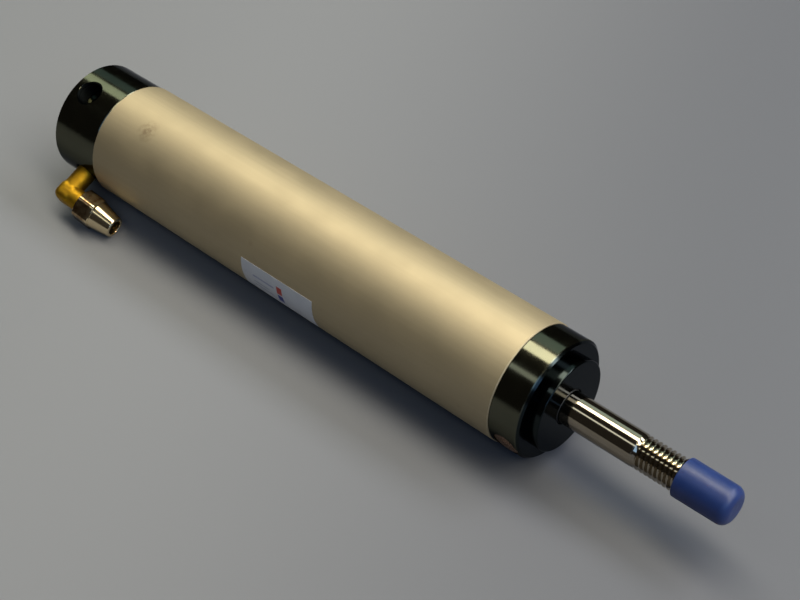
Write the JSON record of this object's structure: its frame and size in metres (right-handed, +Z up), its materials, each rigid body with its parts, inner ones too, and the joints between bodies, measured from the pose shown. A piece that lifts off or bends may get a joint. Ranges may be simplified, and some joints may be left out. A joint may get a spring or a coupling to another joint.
{
  "type": "pneumatic cylinder",
  "caption": "Round-body pneumatic cylinder with threaded caps, a chromed sliding rod with a capped end thread, a spigot nose and a brass elbow hose fitting.",
  "frame": {"origin": "on the rod's axis at the front cap's face, where the mounting spigot begins", "axes": "+X along the rod axis, out through the spigot towards the rod's thread; +Z up as the cylinder lies on a table"},
  "size_m": [0.2982, 0.0583, 0.045],
  "materials": {
    "barrel_anodised": "champagne satin anodised, fine blasted grain",
    "cap_black": "glossy black anodised",
    "rod_chrome": "polished hard chrome",
    "piston_aluminium": "turned",
    "black_rubber": "nitrile, matte",
    "seal_polyurethane": "polyurethane, satin",
    "wear_plastic": "filled PTFE band",
    "magnet_compound": "plastic-bonded ferrite",
    "bronze": "sintered bronze",
    "elbow_brass": "raw forged brass, satin",
    "nut_plated": "nickel-plated, bright",
    "zinc_steel": "zinc-plated",
    "protector_plastic": "soft blue polyethylene, satin",
    "label_film": "printed film"
  },
  "bodies": {
    "cylinder": {"barrel": "barrel_anodised", "front_cap": "cap_black", "rear_cap": "cap_black", "front_cap_o_ring": "black_rubber", "rear_cap_o_ring": "black_rubber", "front_bumper": "black_rubber", "rear_bumper": "black_rubber", "rod_bearing": "bronze", "rod_seal": "seal_polyurethane", "rod_wiper": "black_rubber", "vent_plug": "bronze", "elbow_body": "elbow_brass", "seal_retainer": "zinc_steel", "label": "label_film"},
    "piston_seals": {"piston_seal_rear": "seal_polyurethane", "piston_seal_front": "seal_polyurethane", "wear_ring": "wear_plastic"},
    "rod": {"piston_rod": "rod_chrome", "piston": "piston_aluminium", "magnet_ring": "magnet_compound", "rod_o_ring": "black_rubber", "piston_washer": "zinc_steel", "piston_nut": "zinc_steel"},
    "protector": {"thread_protector": "protector_plastic"},
    "ferrule": {"ferrule": "elbow_brass"},
    "union_nut": {"union_nut": "nut_plated"}
  },
  "joints": [
    {"name": "rod_slide", "type": "slide", "parent": "cylinder", "child": "piston_seals", "axis": [1, 0, 0], "range_m": [0, 0.15]},
    {"name": "rod_turn", "type": "hinge", "parent": "piston_seals", "child": "rod", "pos_m": [0, 0, 0], "axis": [1, 0, 0], "continuous": true},
    {"name": "protector_pull", "type": "slide", "parent": "rod", "child": "protector", "axis": [1, 0, 0], "range_m": [0, 0.032]},
    {"name": "nut_advance", "type": "slide", "parent": "cylinder", "child": "ferrule", "axis": [0.9668, 0.099, -0.2355], "range_m": [0, 0.003]},
    {"name": "nut_turn", "type": "hinge", "parent": "ferrule", "child": "union_nut", "pos_m": [-0.2156, -0.03005, -0.01263], "axis": [0.9668, 0.099, -0.2355], "range_deg": [0, 1080]}
  ],
  "couplings": [
    {"joint": "nut_advance", "follows": "nut_turn", "m_per_rad": 0.00015915}
  ]
}
